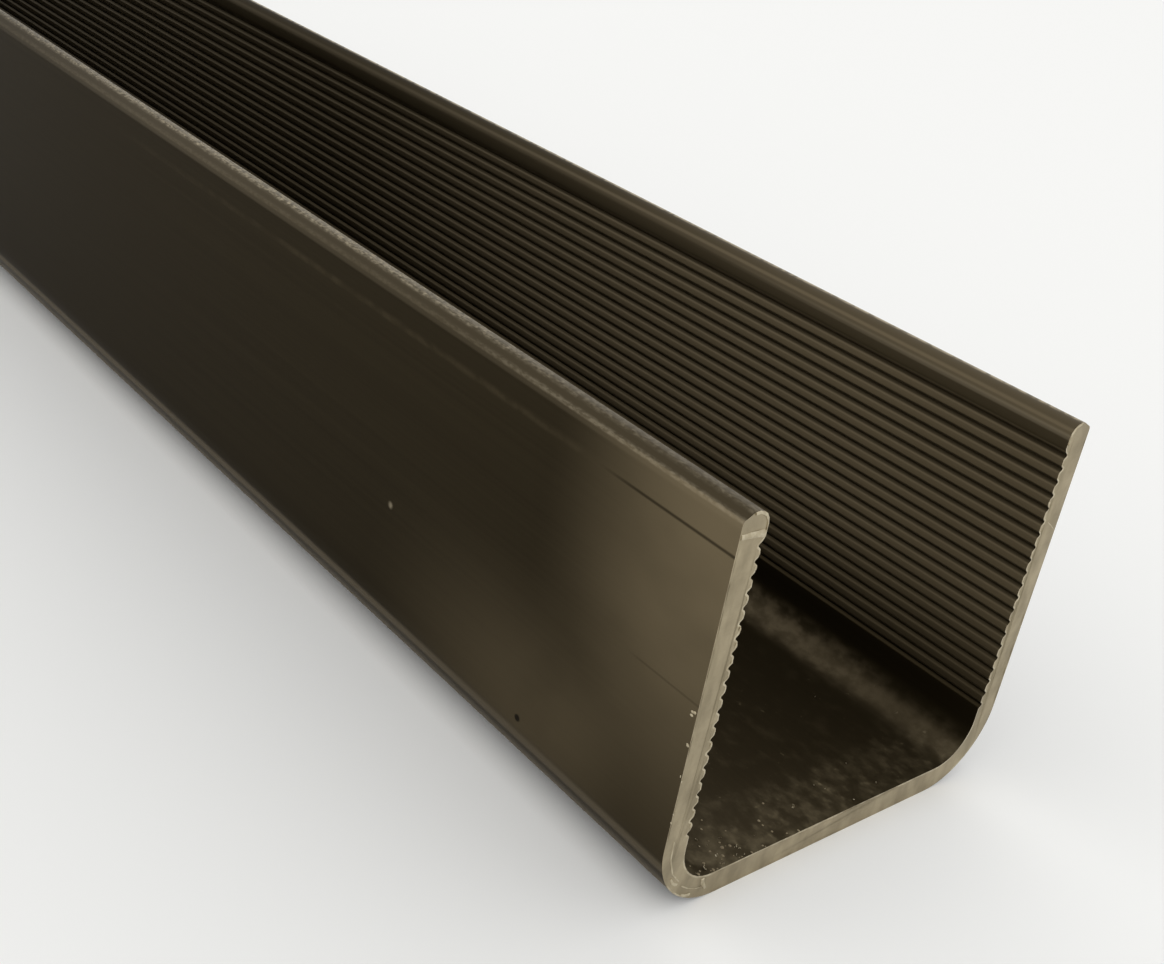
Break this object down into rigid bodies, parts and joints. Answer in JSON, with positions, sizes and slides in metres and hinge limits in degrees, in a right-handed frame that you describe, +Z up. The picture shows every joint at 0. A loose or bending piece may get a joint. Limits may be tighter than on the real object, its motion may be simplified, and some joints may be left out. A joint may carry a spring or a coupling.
{
  "type": "aluminium u-channel profile",
  "caption": "Length of dark bronze anodised aluminium U-channel with ribbed inner walls, thickened lips and rounded bottom corners.",
  "frame": {"origin": "centre of the underside, midway between the two cut ends and between the two walls", "axes": "+X along the length towards the cut end that the picture shows, +Y across from one wall to the other, +Z up out of the open side"},
  "size_m": [0.5, 0.034, 0.03],
  "materials": {
    "anodised_aluminium": "dark bronze anodised, semi-gloss, with bare sawn ends"
  },
  "bodies": {
    "root": {"channel": "anodised_aluminium"}
  },
  "joints": []
}
